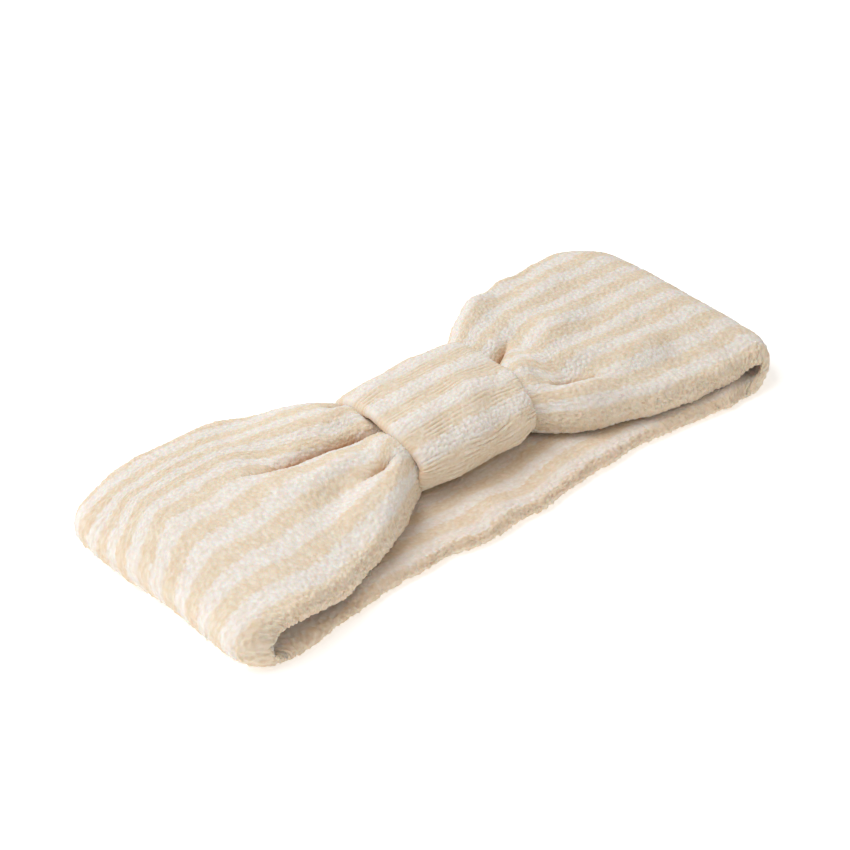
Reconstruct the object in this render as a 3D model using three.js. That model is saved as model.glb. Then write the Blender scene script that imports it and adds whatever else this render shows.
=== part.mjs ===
// A terry spa headband with a bow front, lying flat as a closed loop.
// Millimetres. +X runs along the band, -Y is the open front edge, +Z is up.
// The origin is on the underside, at the middle of the footprint.
import * as THREE from "three";

// Driving dimensions of the band.
const BAND_LENGTH = 250; // over both end folds, lying flat
const BAND_WIDTH = 100; // back panel and folds, between the long edges
const FOLD_HEIGHT = 20; // outside height of an end fold
const LAYER = 2.2; // one layer of terry, pile included
const LAYER_GAP = 1.2; // between the two layers, where the seam thread lies
const FOLD_FLAP = 3; // flat top of a fold, from the end of its bend to the wing
const SEAM_INSET = 4; // seam thread, in from a long edge

// Driving dimensions of the gathered middle and its wrap.
const WAIST_LENGTH = 54; // gathered cloth inside the wrap
const WAIST_WIDTH = 36;
const WAIST_HEIGHT = 11;
const WAIST_CORNER = 4; // rounding of the gathered bundle
const WRAP_LENGTH = 55; // along the band
const WRAP_WALL = 1.9; // one layer of the wrap's tube
const WRAP_CLEARANCE = 1; // gathered cloth to wrap, where the threads lie
const WRAP_SEAM_WIDTH = 6; // turned-in allowance along the wrap's underside
const WRAP_SEAM_HEIGHT = 1.6;
const WING_END_WIDTH = 40; // where the wing meets the wrap
const WING_END_LAYER = 5.4; // one layer, thickened by its pleats
const TAPER_POWER = 2.6; // how late the wing narrows: 1 is a straight taper

// Threads and running gaps.
const THREAD = 0.4;
const TOUCH_GAP = 0.3; // between pieces that touch on the real band
const WING_GAP = 1; // wing to wrap, so that a raised wing clears it
const TACK_LENGTH = 10; // bar tack across the band
const TACK_WIDTH = 1.6;
const TACK_INSET = 4; // tack, in from the wrap's end
const GATHER_INSET = 10; // gathering thread, in from the end of the waist

const ARC_STEPS = 12; // segments in half a turn
const CORNER_STEPS = 3; // segments in a quarter turn of a section
const WING_STEPS = 12; // sections along a wing

const bendRadius = FOLD_HEIGHT / 2;
const bendCentreX = BAND_LENGTH / 2 - bendRadius;
const flapEndX = bendCentreX - FOLD_FLAP;
const bandThickness = 2 * LAYER + LAYER_GAP;
const foldMiddleZ = FOLD_HEIGHT - bandThickness / 2;
const wrapDepth = WRAP_CLEARANCE + 2 * WRAP_WALL + TOUCH_GAP;
const waistBottomZ = bandThickness + 2 * TOUCH_GAP + WRAP_SEAM_HEIGHT + wrapDepth;
const waistMiddleZ = waistBottomZ + WAIST_HEIGHT / 2;
const wrapBottomZ = waistBottomZ - wrapDepth;
const wingStartX = flapEndX - TOUCH_GAP;
const wingEndX = WRAP_LENGTH / 2 + WING_GAP;

const terryMaterial = new THREE.MeshStandardMaterial({ color: 0xeedfca, roughness: 0.95, metalness: 0 });
const liningMaterial = new THREE.MeshStandardMaterial({ color: 0xe3cdb0, roughness: 0.95, metalness: 0 });
const wrapMaterial = new THREE.MeshStandardMaterial({ color: 0xf3e9db, roughness: 0.95, metalness: 0 });
const threadMaterial = new THREE.MeshStandardMaterial({ color: 0xf6efe4, roughness: 0.7, metalness: 0 });

// A piece of the scene graph: one named solid with a material of its own.
function piece(name, geometry, material) {
  const mesh = new THREE.Mesh(geometry, material.clone());
  mesh.name = name;
  return mesh;
}

// The corners of a rounded rectangle about the origin, counter-clockwise.
function roundedSection(halfWidth, halfHeight, corner) {
  const radius = Math.min(corner, halfWidth, halfHeight) * 0.999;
  const centres = [[1, 1], [-1, 1], [-1, -1], [1, -1]];
  return centres.flatMap(([sideX, sideY], quarter) => {
    const points = [];
    for (let step = 0; step <= CORNER_STEPS; step++) {
      const angle = ((quarter + step / CORNER_STEPS) * Math.PI) / 2;
      const x = sideX * (halfWidth - radius) + radius * Math.cos(angle);
      const y = sideY * (halfHeight - radius) + radius * Math.sin(angle);
      points.push(new THREE.Vector2(x, y));
    }
    return points;
  });
}

// A shape drawn in X and Z, given a depth along Y and centred on y.
function extrudeAlongY(shape, depth, y) {
  const geometry = new THREE.ExtrudeGeometry(shape, { depth, bevelEnabled: false, curveSegments: ARC_STEPS });
  geometry.rotateX(Math.PI / 2);
  return geometry.translate(0, y + depth / 2, 0);
}

// A shape drawn in Y and Z, given a depth along X from startX.
function extrudeAlongX(shape, depth, startX, middleZ) {
  const geometry = new THREE.ExtrudeGeometry(shape, { depth, bevelEnabled: false });
  geometry.rotateX(Math.PI / 2).rotateZ(Math.PI / 2);
  return geometry.translate(startX, 0, middleZ);
}

// The strip's path along the floor and round both end folds, seen from the front:
// the cloth between two depths under its outside surface.
function foldedStrip(outerDepth, innerDepth) {
  const shape = new THREE.Shape();
  const outer = bendRadius - outerDepth;
  const inner = bendRadius - innerDepth;
  const quarter = Math.PI / 2;
  shape.moveTo(-flapEndX, bendRadius + outer);
  shape.lineTo(-bendCentreX, bendRadius + outer);
  shape.absarc(-bendCentreX, bendRadius, outer, quarter, 3 * quarter, false);
  shape.absarc(bendCentreX, bendRadius, outer, -quarter, quarter, false);
  shape.lineTo(flapEndX, bendRadius + outer);
  shape.lineTo(flapEndX, bendRadius + inner);
  shape.absarc(bendCentreX, bendRadius, inner, quarter, -quarter, true);
  shape.absarc(-bendCentreX, bendRadius, inner, 3 * quarter, quarter, true);
  shape.lineTo(-flapEndX, bendRadius + inner);
  return shape;
}

// A solid through a list of rings, each a list of Vector3, in order along +X or -X.
function loft(rings) {
  const count = rings[0].length;
  const last = rings.length - 1;
  const positions = rings.flat().flatMap((point) => point.toArray());
  const middle = (ring) => ring.reduce((sum, p) => sum.add(p), new THREE.Vector3()).divideScalar(count);
  positions.push(...middle(rings[0]).toArray(), ...middle(rings[last]).toArray());
  const startCap = rings.length * count;
  const endCap = startCap + 1;
  const faces = [];
  for (let i = 0; i < count; i++) {
    const next = (i + 1) % count;
    for (let ring = 0; ring < last; ring++) {
      const a = ring * count + i;
      const b = ring * count + next;
      faces.push(a, b, b + count, a, b + count, a + count);
    }
    faces.push(startCap, next, i, endCap, last * count + i, last * count + next);
  }
  const turned = rings[last][0].x < rings[0][0].x;
  if (turned) faces.reverse();
  const geometry = new THREE.BufferGeometry();
  geometry.setAttribute("position", new THREE.Float32BufferAttribute(positions, 3));
  geometry.setIndex(faces);
  return geometry;
}

// How the wing changes from the fold, at share 0, to the wrap, at share 1.
function wingSection(share) {
  const eased = share * share * (3 - 2 * share);
  const narrowing = ((BAND_WIDTH - WING_END_WIDTH) / 2) * share ** TAPER_POWER;
  return {
    halfWidth: BAND_WIDTH / 2 - narrowing,
    middleZ: THREE.MathUtils.lerp(foldMiddleZ, waistMiddleZ, eased),
    layer: THREE.MathUtils.lerp(LAYER, WING_END_LAYER, eased),
  };
}

// A solid that follows the wing on one side of the band. ringAt gives its outline
// in Y and Z for a section of the wing.
function alongWing(side, ringAt) {
  const rings = [];
  for (let step = 0; step <= WING_STEPS; step++) {
    const share = step / WING_STEPS;
    const x = side * THREE.MathUtils.lerp(wingStartX, wingEndX, share);
    rings.push(ringAt(wingSection(share)).map((p) => new THREE.Vector3(x, p.x, p.y)));
  }
  return loft(rings);
}

// One layer of a wing: level 1 is the outer layer, level -1 the inner one.
function wingLayer(side, level) {
  return alongWing(side, ({ halfWidth, middleZ, layer }) => {
    const z = middleZ + (level * (LAYER_GAP + layer)) / 2;
    const outline = roundedSection(halfWidth, layer / 2, layer / 2);
    return outline.map((p) => new THREE.Vector2(p.x, p.y + z));
  });
}

// The seam thread inside a wing's edge: edge -1 is the front, 1 the rear.
function wingSeamThread(side, edge) {
  return alongWing(side, ({ halfWidth, middleZ }) => {
    const y = edge * (halfWidth - SEAM_INSET);
    const outline = roundedSection(THREAD / 2, THREAD / 2, THREAD / 2);
    return outline.map((p) => new THREE.Vector2(p.x + y, p.y + middleZ));
  });
}

// The gathered bundle's outline, let out all round by a distance.
function waistOutline(letOut) {
  return roundedSection(WAIST_WIDTH / 2 + letOut, WAIST_HEIGHT / 2 + letOut, WAIST_CORNER + letOut);
}

// A sleeve or ring round the gathered bundle.
function waistSleeve(innerLetOut, wall, length, middleX) {
  const shape = new THREE.Shape(waistOutline(innerLetOut + wall));
  shape.holes.push(new THREE.Path(waistOutline(innerLetOut)));
  return extrudeAlongX(shape, length, middleX - length / 2, waistMiddleZ);
}

// The back panel with both end folds: two layers and the thread of each long seam.
function backPanel() {
  const group = new THREE.Group();
  const threadDepth = (bandThickness - THREAD) / 2;
  const outer = foldedStrip(0, LAYER);
  const inner = foldedStrip(LAYER + LAYER_GAP, bandThickness);
  const thread = foldedStrip(threadDepth, threadDepth + THREAD);
  const seamY = BAND_WIDTH / 2 - SEAM_INSET;
  group.add(piece("back_outer_layer", extrudeAlongY(outer, BAND_WIDTH, 0), terryMaterial));
  group.add(piece("back_inner_layer", extrudeAlongY(inner, BAND_WIDTH, 0), liningMaterial));
  group.add(piece("back_front_seam_thread", extrudeAlongY(thread, THREAD, -seamY), threadMaterial));
  group.add(piece("back_rear_seam_thread", extrudeAlongY(thread, THREAD, seamY), threadMaterial));
  return group;
}

// A wing of the bow, from an end fold to the wrap.
function wing(name, side) {
  const group = new THREE.Group();
  group.add(piece(`${name}_outer_layer`, wingLayer(side, 1), terryMaterial));
  group.add(piece(`${name}_inner_layer`, wingLayer(side, -1), liningMaterial));
  group.add(piece(`${name}_front_seam_thread`, wingSeamThread(side, -1), threadMaterial));
  group.add(piece(`${name}_rear_seam_thread`, wingSeamThread(side, 1), threadMaterial));
  return group;
}

// The gathered middle of the strip. Its two ends meet at the closing seam, halfway along.
function waist() {
  const group = new THREE.Group();
  const halfLength = (WAIST_LENGTH - LAYER_GAP) / 2;
  const bundle = new THREE.Shape(waistOutline(0));
  const leftEnd = extrudeAlongX(bundle, halfLength, -WAIST_LENGTH / 2, waistMiddleZ);
  const rightEnd = extrudeAlongX(bundle, halfLength, LAYER_GAP / 2, waistMiddleZ);
  const gatherX = WAIST_LENGTH / 2 - GATHER_INSET;
  const gatherLetOut = (WRAP_CLEARANCE - THREAD) / 2;
  const leftGather = waistSleeve(gatherLetOut, THREAD, THREAD, -gatherX);
  const rightGather = waistSleeve(gatherLetOut, THREAD, THREAD, gatherX);
  group.add(piece("waist_left_gather", leftEnd, terryMaterial));
  group.add(piece("waist_right_gather", rightEnd, terryMaterial));
  group.add(piece("closing_seam_thread", waistSleeve(-LAYER, THREAD, THREAD, 0), threadMaterial));
  group.add(piece("gathering_thread_left", leftGather, threadMaterial));
  group.add(piece("gathering_thread_right", rightGather, threadMaterial));
  return group;
}

// A bar tack that holds the wrap to the gathered cloth, in the clearance over it.
function barTack(side) {
  const shape = new THREE.Shape(roundedSection(TACK_LENGTH / 2, THREAD / 2, THREAD / 2));
  const middleX = side * (WRAP_LENGTH / 2 - TACK_INSET);
  const z = waistMiddleZ + (WAIST_HEIGHT + WRAP_CLEARANCE) / 2;
  return extrudeAlongX(shape, TACK_WIDTH, middleX - TACK_WIDTH / 2, z);
}

// The wrap: a turned tube of terry, so two layers, closed by a seam underneath.
function wrap() {
  const group = new THREE.Group();
  const outerLetOut = WRAP_CLEARANCE + WRAP_WALL + TOUCH_GAP;
  const outer = waistSleeve(outerLetOut, WRAP_WALL, WRAP_LENGTH, 0);
  const inner = waistSleeve(WRAP_CLEARANCE, WRAP_WALL, WRAP_LENGTH, 0);
  const allowance = roundedSection(WRAP_SEAM_WIDTH / 2, WRAP_SEAM_HEIGHT / 2, WRAP_SEAM_HEIGHT / 2);
  const allowanceZ = wrapBottomZ - TOUCH_GAP - WRAP_SEAM_HEIGHT / 2;
  const ridge = extrudeAlongX(new THREE.Shape(allowance), WRAP_LENGTH, -WRAP_LENGTH / 2, allowanceZ);
  group.add(piece("wrap_outer_layer", outer, wrapMaterial));
  group.add(piece("wrap_inner_layer", inner, liningMaterial));
  group.add(piece("wrap_seam_allowance", ridge, wrapMaterial));
  group.add(piece("wrap_tack_left", barTack(-1), threadMaterial));
  group.add(piece("wrap_tack_right", barTack(1), threadMaterial));
  return group;
}

const headband = new THREE.Group();
headband.add(backPanel());
headband.add(wing("left_wing", -1));
headband.add(wing("right_wing", 1));
headband.add(waist());
headband.add(wrap());

export default headband;
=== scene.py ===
import math
from typing import NamedTuple

import bpy
import numpy as np
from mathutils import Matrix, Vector


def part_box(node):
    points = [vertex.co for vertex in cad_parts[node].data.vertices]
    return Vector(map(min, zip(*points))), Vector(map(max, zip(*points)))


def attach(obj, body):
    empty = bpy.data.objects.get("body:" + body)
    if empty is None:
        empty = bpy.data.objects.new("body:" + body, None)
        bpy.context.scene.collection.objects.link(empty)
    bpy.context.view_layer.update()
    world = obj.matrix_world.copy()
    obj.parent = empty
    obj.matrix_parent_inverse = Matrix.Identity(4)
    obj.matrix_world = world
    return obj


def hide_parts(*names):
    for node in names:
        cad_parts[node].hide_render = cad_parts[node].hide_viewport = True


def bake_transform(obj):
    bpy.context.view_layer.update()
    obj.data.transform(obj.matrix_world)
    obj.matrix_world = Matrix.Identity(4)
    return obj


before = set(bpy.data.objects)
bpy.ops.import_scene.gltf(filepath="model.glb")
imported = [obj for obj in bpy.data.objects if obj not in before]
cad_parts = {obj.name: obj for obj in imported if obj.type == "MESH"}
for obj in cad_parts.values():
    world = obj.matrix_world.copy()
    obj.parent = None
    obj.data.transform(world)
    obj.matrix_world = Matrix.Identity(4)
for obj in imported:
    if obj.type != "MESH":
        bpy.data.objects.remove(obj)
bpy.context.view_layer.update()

# ---------------------------------------------------------------------------
# Studio. The headband lies on a white table. A broad soft lamp stands to its
# left and a little behind, so the top is bright and the open side is shaded,
# and a warm even sky fills that shade.
# ---------------------------------------------------------------------------
VIEW_AZIMUTH = math.radians(-42.5)
VIEW_ELEVATION = math.radians(35.0)
VIEW_DISTANCE = 0.911
VIEW_TARGET = Vector((0.0008, 0.0071, 0.010))
LENS_MM = 109.7
SENSOR_MM = 36.0
SKY_COLOUR = (1.0, 0.928, 0.845, 1)
SKY_STRENGTH = 0.46
KEY_COLOUR = (0.95, 0.975, 1.0)
KEY_AZIMUTH = math.radians(-125)
KEY_ELEVATION = math.radians(60)
KEY_DISTANCE = 1.25
KEY_SIZE = 0.9
KEY_WATTS = 11.0
TABLE_SIZE = 6.0
TABLE_WHITE = (0.93, 0.93, 0.93, 1)
TABLE_GLOW = 0.42


def direction_to(azimuth, elevation):
    """The unit vector from the object towards a place round it: azimuth 0 is its front, -Y."""
    level = math.cos(elevation)
    return Vector((math.sin(azimuth) * level, -math.cos(azimuth) * level, math.sin(elevation)))


def aim(thing, target):
    thing.rotation_mode = "QUATERNION"
    thing.rotation_quaternion = (target - thing.location).to_track_quat("-Z", "Y")


def add_camera():
    lens = bpy.data.cameras.new("camera")
    lens.lens = LENS_MM
    lens.sensor_width = SENSOR_MM
    lens.clip_start = 0.05
    lens.clip_end = 20
    camera = bpy.data.objects.new("camera", lens)
    bpy.context.collection.objects.link(camera)
    camera.location = VIEW_TARGET + VIEW_DISTANCE * direction_to(VIEW_AZIMUTH, VIEW_ELEVATION)
    aim(camera, VIEW_TARGET)
    bpy.context.scene.camera = camera


def add_key_light():
    lamp = bpy.data.lights.new("key_light", "AREA")
    lamp.size = KEY_SIZE
    lamp.energy = KEY_WATTS
    lamp.color = KEY_COLOUR
    light = bpy.data.objects.new("key_light", lamp)
    bpy.context.collection.objects.link(light)
    light.location = KEY_DISTANCE * direction_to(KEY_AZIMUTH, KEY_ELEVATION)
    aim(light, Vector((0, 0, 0)))


def add_sky():
    world = bpy.data.worlds.new("studio")
    world.use_nodes = True
    background = world.node_tree.nodes["Background"]
    background.inputs["Color"].default_value = SKY_COLOUR
    background.inputs["Strength"].default_value = SKY_STRENGTH
    bpy.context.scene.world = world


def add_table():
    mesh = bpy.data.meshes.new("table")
    half = TABLE_SIZE / 2
    corners = [(-half, -half, 0), (half, -half, 0), (half, half, 0), (-half, half, 0)]
    mesh.from_pydata(corners, [], [(0, 1, 2, 3)])
    table = bpy.data.objects.new("table", mesh)
    bpy.context.collection.objects.link(table)
    white = bpy.data.materials.new("white_table")
    white.use_nodes = True
    shader = white.node_tree.nodes["Principled BSDF"]
    shader.inputs["Base Color"].default_value = TABLE_WHITE
    shader.inputs["Roughness"].default_value = 0.6
    shader.inputs["Emission Color"].default_value = (1, 1, 1, 1)
    shader.inputs["Emission Strength"].default_value = TABLE_GLOW
    mesh.materials.append(white)


add_camera()
add_sky()
add_key_light()
add_table()
bpy.context.scene.view_settings.view_transform = "Standard"

# ---------------------------------------------------------------------------
# The band's cloth. One strip of striped terry, doubled and sewn along both
# edges, then joined into a flat loop: a back panel, a fold at each end and two
# bow wings that are gathered into the wrap. Loop pile stands on both faces.
# ---------------------------------------------------------------------------
back_high = Vector(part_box("back_outer_layer")[1])
wing_high = Vector(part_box("right_wing_outer_layer")[1])
wrap_low, wrap_high = (Vector(corner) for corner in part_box("wrap_outer_layer"))
gather_low, gather_high = (Vector(corner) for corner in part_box("waist_left_gather"))
HALF_LENGTH = back_high.x
HALF_WIDTH = back_high.y
WRAP_END = wrap_high.x
HINGE_X = wing_high.x  # where a wing turns on its fold
SHOULDER = 0.78  # of an end fold: 1 is an ellipse, less is fuller
FOLD_SMOOTHING = 9  # steps over which the bend is averaged
BEND_ROOM = 0.75  # cloth inside a bend takes up at most this share of the bend's radius
FOLD_POINTS = 400  # of each quarter of a fold's line, before it is spaced out
FOLD_EASE = 0.022  # over this length creases and ripples die out before a fold
WING_TOP = 0.0282  # height of a wing's upper face where it enters the wrap
WING_UNDERSIDE = 0.0108
LEAST_WING = 0.0042  # a crease leaves at least this thickness
LIP = 0.0012  # extra thickness of a wing's front edge
FRONT_ROLL = 0.0090  # radius of a wing's front edge at the wrap
REAR_ROLL = 0.0075
ROLL_POWER = 1.2  # the rolled edges thicken towards the wrap by this power
CROWN_POWER = 2.4  # the higher, the nearer the front edge the top curls down
UNDER_CURL = 0.0040  # how far the underside's front edge curls down at the wrap
SAG_POWER = 1.6  # the front edge's sag grows towards it by this power
SAG_HELD = 0.7  # share of that sag that the wrap holds up
UNDER_DIP = 0.35  # share of a crease's depth that pushes the underside up
UNDER_RIPPLE = 0.6  # share of a ripple that shows underneath
RIPPLE_EASE = 0.03  # out from the wrap, where ripples reach their full height
DARK_SLIT = 0.0040  # a crease this deep has its full painted shade
SLIT_POWER = 1.4  # higher keeps the painted shade to a crease's bottom
TUCK = 0.0055  # inside the wrap, the length over which a wing narrows into the gathers
TUCK_SIDE = 0.001  # from the gathers' edges in to the tucked cloth
TUCK_FACE = 0.0008  # from their upper and lower faces
BACK_DRAW = 0.0105  # how far the gathers draw in the back panel's rear edge behind the bow
BACK_DRAW_REACH = 0.096
FRONT_DRAWS = ((-0.056, 0.040, 0.0050), (0, 0.050, 0.0020), (0.052, 0.050, 0.0054))  # place, reach, depth
SEAM_GAP = 0.0006  # from the middle to the first cloth: the strip's two ends don't overlap
INNER_PAINTED_SHADE = 0.10  # painted shade: a light even tint over the loop's inner face
CLOTH = 0.0056  # the doubled cloth, pile included
GIRTH = 4 * HALF_WIDTH + 2 * CLOTH  # round the doubled cloth
TURN_INSET = 0.018  # this far in from an end, the back panel's inner face starts to show
TURN_LENGTH = 0.085  # over this length it takes over the larger share of points
WING_STEP = 0.00040  # between stations along a wing
BACK_STEP = 0.00052  # between stations along the back
AROUND = 430  # points round the doubled cloth, from edge to edge and back
UPPER_SHARE = 0.66  # of those points on the side that shows
OUTLINE_POINTS = 900  # of a section's half outline, before it is spaced out


def smooth(value):
    """An eased step: 0 up to 0, 1 from 1 on."""
    value = np.clip(value, 0, 1)
    return value * value * (3 - 2 * value)


def mix(low, high, share):
    """The value a share of the way from low to high."""
    return low + (high - low) * share


def from_edge_to_edge(front, rear):
    """Places across the cloth, closest together at its two edges."""
    angle = np.linspace(-math.pi / 2, math.pi / 2, OUTLINE_POINTS)
    return (rear - front) / 2 + (rear + front) / 2 * np.sin(angle)


def rolled(top, bottom, inward):
    """The two faces brought together at the edges in a round roll. inward is the distance in
    from the nearer edge, and is 1 where that roll ends."""
    level = (top + bottom) / 2
    open_share = np.sqrt(np.clip(1 - np.clip(1 - inward, 0, 1) ** 2, 0, 1))
    return level + (top - level) * open_share, level + (bottom - level) * open_share


CREASE_START = 0.007  # length over which a crease deepens from nothing


class Crease:
    """A fold line that starts at y beside the wrap, runs out and widens into a shallow valley."""

    def __init__(
        self, y, slant, reach, depth, width, bend=0.0, begin=-0.01, hold=0.4, spread=0.8, soft=False
    ):
        self.y = y
        self.slant = slant
        self.bend = bend
        self.begin = begin  # distance out from the wrap where it starts
        self.reach = reach  # and where it has died out
        self.hold = hold  # share of its reach over which it keeps its depth
        self.depth = depth
        self.width = width  # half its width at the wrap
        self.spread = spread  # how much wider it is at its end, as a share
        self.soft = soft  # a rounded valley, not a sharp slit

    def nearness(self, out, y):
        """From 0 to 1, how close a point is to the crease, and how strong the crease is there."""
        fade = 1 - smooth((out / self.reach - self.hold) / (1 - self.hold))
        fade = fade * smooth((out - self.begin) / CREASE_START)
        across = np.abs(y - self.y - self.slant * out - self.bend * out * out)
        width = self.width * (1 + self.spread * np.clip(out / self.reach, 0, 1))
        return np.clip(1 - across / width, 0, 1), fade

    def dip(self, out, y):
        """How far the cloth is drawn down, at a distance out from the wrap and across at y."""
        near, fade = self.nearness(out, y)
        profile = smooth(near) if self.soft else 1 - np.sqrt(np.clip(1 - near**2, 0, 1))
        return self.depth * fade * profile


class Wing:
    """The shape of one bow wing, with the end fold that it grows out of."""

    def __init__(
        self, side, fold_start, fold_height, fold_waist, fold_turn, reach_out, plump, sag, set_back,
        drift, ends, lean, powers, crowns, corners, creases, ripples,
    ):
        self.side = side  # -1 is left, 1 is right
        self.fold_start = fold_start  # from here the cloth droops into the fold
        self.fold_height = fold_height
        self.fold_waist = fold_waist  # height of the fold's furthest point
        self.fold_turn = fold_turn  # length of the turn under the fold
        self.reach_out = reach_out  # how far the soft fold stands past HALF_LENGTH
        self.plump = plump  # extra thickness that fills the mouth towards the fold
        self.sag = sag  # of the front edge's height
        self.set_back = set_back  # of the front edge above the fold
        self.drift = drift  # how far the stripes slide to the rear at the fold, as a share
        self.front_end, self.rear_end = ends  # half widths where it enters the wrap
        self.lean = lean  # how far the front edge is drawn in evenly towards the wrap
        self.front_power, self.rear_power = powers  # the higher, the nearer the wrap it narrows
        self.front_crown, self.rear_crown = crowns  # how far the edges curl down at the wrap
        self.front_corner, self.rear_corner = corners  # radii in plan
        self.creases = creases
        self.ripples = ripples  # waves across, waves along, height and start of each

    def edges(self, x):
        """How far the front and rear edges are from the middle line."""
        share = np.clip((HINGE_X - x) / (HINGE_X - WRAP_END), 0, 1)
        front = HALF_WIDTH - self.set_back - self.lean * share
        front = front - (front - self.front_end) * share**self.front_power
        rear = HALF_WIDTH - (HALF_WIDTH - self.rear_end) * share**self.rear_power
        return front, rear

    def section(self, x):
        """Half outlines of the cloth at a distance x from the middle: y, upper z and lower z,
        and how deep in a crease each point of the upper one lies, which sets the painted shade there."""
        tuck = smooth((WRAP_END - x) / TUCK)
        rise = smooth((self.fold_start - x) / (self.fold_start - WRAP_END))
        ease = smooth((self.fold_start - x) / FOLD_EASE)
        out = max(x - WRAP_END, 0)
        front, rear = self.edges(x)
        front = mix(front, gather_high.y - TUCK_SIDE, tuck)
        rear = mix(rear, gather_high.y - TUCK_SIDE, tuck)
        y = from_edge_to_edge(front, rear)
        middle = y / np.where(y < 0, front, rear)
        upper = mix(self.fold_height, WING_TOP, rise)
        lower = mix(self.fold_height - CLOTH - self.plump, WING_UNDERSIDE, rise)
        forward, rearward = np.clip(-middle, 0, 1), np.clip(middle, 0, 1)
        droop = self.sag * (1 - SAG_HELD * rise) * forward**SAG_POWER
        crown = rise * (self.front_crown * forward**CROWN_POWER + self.rear_crown * rearward**2) + droop
        slit = ease * sum(crease.dip(out, y) for crease in self.creases if not crease.soft)
        dip = slit + ease * sum(crease.dip(out, y) for crease in self.creases if crease.soft)
        swell = ease * smooth(out / RIPPLE_EASE)
        wave = 0 * y
        for across, along, height, start in self.ripples:
            wave = wave + height * np.cos(2 * math.pi * (across * middle + along * x / HINGE_X + start))
        top = upper - crown - dip + wave * swell
        bottom = lower - droop - UNDER_CURL * rise * forward**2
        bottom = bottom - LIP * forward**3 + UNDER_DIP * dip + UNDER_RIPPLE * wave * swell
        bottom = np.minimum(bottom, top - LEAST_WING)
        top = mix(top, gather_high.z - TUCK_FACE, tuck)
        bottom = mix(bottom, gather_low.z + TUCK_FACE, tuck)
        front_roll = mix(CLOTH / 2, FRONT_ROLL, rise**ROLL_POWER)
        rear_roll = mix(CLOTH / 2, REAR_ROLL, rise**ROLL_POWER)
        top, bottom = rolled(top, bottom, np.minimum((y + front) / front_roll, (rear - y) / rear_roll))
        # Painted shade in the creases, from how deep each point lies in a slit.
        depth = np.clip(slit / DARK_SLIT, 0, 1) ** SLIT_POWER * (1 - tuck)
        return y, top, bottom, depth


LEFT = Wing(
    side=-1,
    fold_start=0.080,
    fold_height=0.0212,
    fold_waist=0.0096,
    fold_turn=0.0080,
    reach_out=0.0016,
    plump=0.0024,
    sag=0.0050,
    set_back=0.0005,
    drift=0.16,
    ends=(0.0222, 0.0250),
    lean=0.0045,
    powers=(2.5, 4.0),
    crowns=(0.0076, 0.0034),
    corners=(0.010, 0.014),
    creases=[
        Crease(y=0.0014, slant=0.38, bend=-1.8, reach=0.060, depth=0.0076, width=0.0034, hold=0.55),
        Crease(y=0.0014, slant=0.38, bend=-1.8, reach=0.074, depth=0.0040, width=0.0130, soft=True),
        Crease(y=-0.0152, slant=0.02, begin=0.004, reach=0.024, depth=0.0050, width=0.0032),
        Crease(y=-0.0130, slant=-0.10, begin=0.006, reach=0.060, depth=0.0020, width=0.0090, soft=True),
        Crease(y=0.0192, slant=0.10, reach=0.008, depth=0.0030, width=0.0028),
    ],
    ripples=[(0.9, 1.3, 0.0010, 0.15), (1.6, -1.1, 0.0007, 0.60), (2.4, 2.1, 0.0004, 0.30)],
)
RIGHT = Wing(
    side=1,
    fold_start=0.108,
    fold_height=0.0202,
    fold_waist=0.0100,
    fold_turn=0.0075,
    reach_out=0.0030,
    plump=0.0022,
    sag=0.0060,
    set_back=0.0045,
    drift=0.02,
    ends=(0.0226, 0.0250),
    lean=0.0015,
    powers=(3.0, 3.1),
    crowns=(0.0070, 0.0018),
    corners=(0.015, 0.016),
    creases=[
        Crease(y=0.0003, slant=0.60, reach=0.020, depth=0.0058, width=0.0036, hold=0.3),
        Crease(y=0.0003, slant=0.42, reach=0.050, depth=0.0030, width=0.0110, soft=True),
        Crease(y=-0.0145, slant=-0.30, begin=0.009, reach=0.036, depth=0.0052, width=0.0032),
        Crease(y=-0.0100, slant=-0.35, begin=0.004, reach=0.060, depth=0.0022, width=0.0100, soft=True),
    ],
    ripples=[(1.1, -1.2, 0.0009, 0.35), (1.8, 0.9, 0.0006, 0.10), (2.6, -2.0, 0.0004, 0.75)],
)


def spaced(y, z, count, drift=0.0):
    """A line's points moved to equal distances along it, or drifting towards its far end."""
    run = np.concatenate([[0], np.cumsum(np.hypot(np.diff(y), np.diff(z)))])
    share = np.linspace(0, 1, count)
    at = run[-1] * (share + drift * np.sin(math.pi * share) ** 2)
    return np.interp(at, run, y), np.interp(at, run, z)


def ring(y, top, bottom, upper_count, drift):
    """The closed outline of a section: over the top from front to rear, and back underneath."""
    lower_count = AROUND - upper_count
    upper_y, upper_z = spaced(y, top, upper_count + 1, drift)
    lower_y, lower_z = spaced(y[::-1], bottom[::-1], lower_count + 1)
    return np.concatenate([upper_y[:-1], lower_y[:-1]]), np.concatenate([upper_z[:-1], lower_z[:-1]])


def flat_section(front, rear, plump, lip):
    """The doubled cloth where it isn't gathered, about its own middle line."""
    y = from_edge_to_edge(front, rear)
    top = CLOTH / 2
    bottom = -(CLOTH / 2 + plump + lip * np.clip(-y / front, 0, 1) ** 3)
    return y, *rolled(top, bottom, np.minimum(y + front, rear - y) / (CLOTH / 2))


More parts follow.
